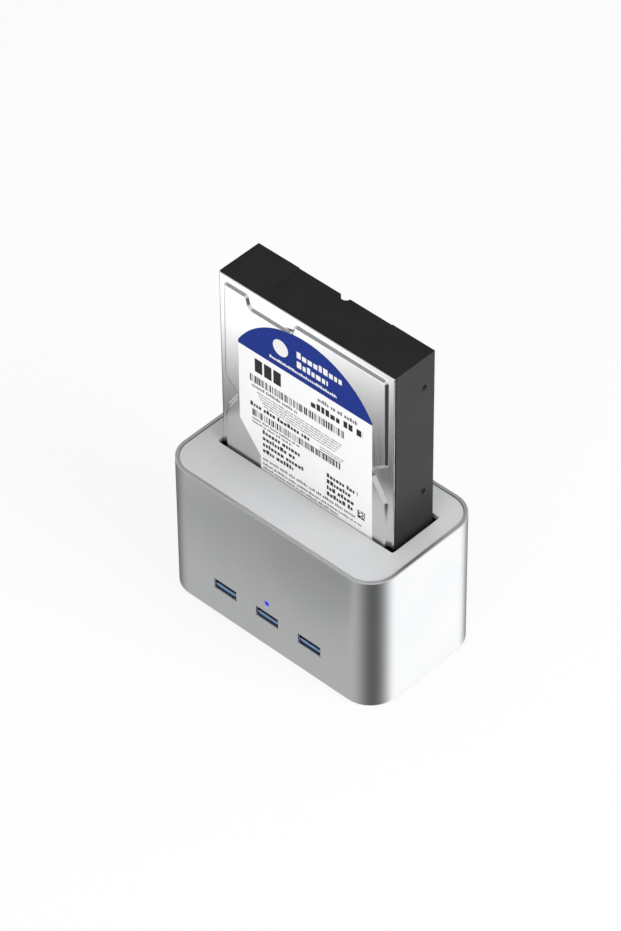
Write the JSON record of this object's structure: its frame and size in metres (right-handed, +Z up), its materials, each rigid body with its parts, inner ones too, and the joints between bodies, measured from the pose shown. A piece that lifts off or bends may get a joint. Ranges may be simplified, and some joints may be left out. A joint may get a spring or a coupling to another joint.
{
  "type": "hard drive docking station",
  "caption": "Aluminium desktop docking station: an upright hard drive lifts out of a slot in the top, with hub sockets and a lamp on the front and inlets and a rocker switch behind.",
  "frame": {"origin": "middle of the underside of the rubber feet, below the centre of the case", "axes": "+X to the right along the front, +Y from the front to the back, +Z up, the way the drive lifts out"},
  "size_m": [0.126, 0.0717, 0.1739],
  "materials": {
    "case_aluminium": "bead-blasted, clear anodised",
    "plate_aluminium": "bead-blasted, clear anodised",
    "black_plastic": "fine textured moulding",
    "screw_steel": "zinc plated",
    "foot_rubber": "matt rubber",
    "board_green": "solder mask over laminate",
    "connector_black": "moulded",
    "contact_gold": "gold plated",
    "socket_steel": "nickel plated",
    "tongue_blue": "moulded",
    "lamp_blue": "clear, lit blue",
    "lamp_chip": "moulded",
    "switch_black": "satin moulding",
    "chip_black": "moulded",
    "can_aluminium": "turned",
    "casting_black": "die-cast, black coated",
    "cover_steel": "stamped, satin",
    "label_paper": "printed film",
    "magnet_nickel": "nickel plated",
    "ramp_white": "moulded",
    "filter_fabric": "felt",
    "platter_mirror": "polished",
    "coil_copper": "enamelled wire"
  },
  "bodies": {
    "dock": {"outer_case": "case_aluminium", "top_plate": "plate_aluminium", "drive_well": "black_plastic", "well_screws": "screw_steel", "base_plate": "black_plastic", "base_screws": "screw_steel", "rubber_feet": "foot_rubber", "main_board": "board_green", "board_screws": "screw_steel", "sata_socket": "connector_black", "sata_socket_contacts": "contact_gold", "usb_shell_left": "socket_steel", "usb_shell_middle": "socket_steel", "usb_shell_right": "socket_steel", "usb_tongue_left": "tongue_blue", "usb_tongue_middle": "tongue_blue", "usb_tongue_right": "tongue_blue", "usb_contacts": "contact_gold", "led_light_pipe": "lamp_blue", "led_chip": "lamp_chip", "rear_usb_shell": "socket_steel", "rear_usb_insert": "tongue_blue", "power_inlet": "connector_black", "power_inlet_pin": "socket_steel", "switch_housing": "switch_black", "switch_pins": "socket_steel", "bridge_chip": "chip_black", "hub_chip": "chip_black", "power_inductor": "chip_black", "capacitors": "can_aluminium", "crystal": "can_aluminium"},
    "rocker": {"switch_rocker": "switch_black"},
    "drive": {"drive_casting": "casting_black", "drive_cover": "cover_steel", "drive_gasket": "foot_rubber", "drive_label": "label_paper", "drive_cover_screws": "screw_steel", "drive_board": "board_green", "drive_board_screws": "screw_steel", "drive_board_chips": "chip_black", "drive_plug": "connector_black", "drive_plug_contacts": "contact_gold", "spindle_motor_base": "can_aluminium", "magnet_plate_lower": "screw_steel", "magnet_plate_upper": "screw_steel", "magnets": "magnet_nickel", "parking_ramp": "ramp_white", "actuator_pivot_pin": "screw_steel", "air_filter": "filter_fabric"},
    "spindle": {"spindle_hub": "can_aluminium", "platter_front": "platter_mirror", "platter_back": "platter_mirror", "platter_spacer": "can_aluminium", "platter_clamp": "can_aluminium", "clamp_screws": "screw_steel"},
    "head_stack": {"head_arms": "can_aluminium", "voice_coil": "coil_copper", "read_heads": "chip_black", "pivot_bearing": "screw_steel"}
  },
  "joints": [
    {"name": "drive_slide", "type": "slide", "parent": "dock", "child": "drive", "axis": [0, 0, 1], "range_m": [0, 0.055]},
    {"name": "rocker_tilt", "type": "hinge", "parent": "dock", "child": "rocker", "pos_m": [-0.027, 0.03362, 0.01605], "axis": [0, 0, 1], "range_deg": [0, 16]},
    {"name": "spindle_spin", "type": "hinge", "parent": "drive", "child": "spindle", "pos_m": [0, 0, 0.1209], "axis": [0, 1, 0], "continuous": true},
    {"name": "head_swing", "type": "hinge", "parent": "drive", "child": "head_stack", "pos_m": [0.019, 0, 0.0679], "axis": [0, 1, 0], "range_deg": [0, 33]}
  ]
}
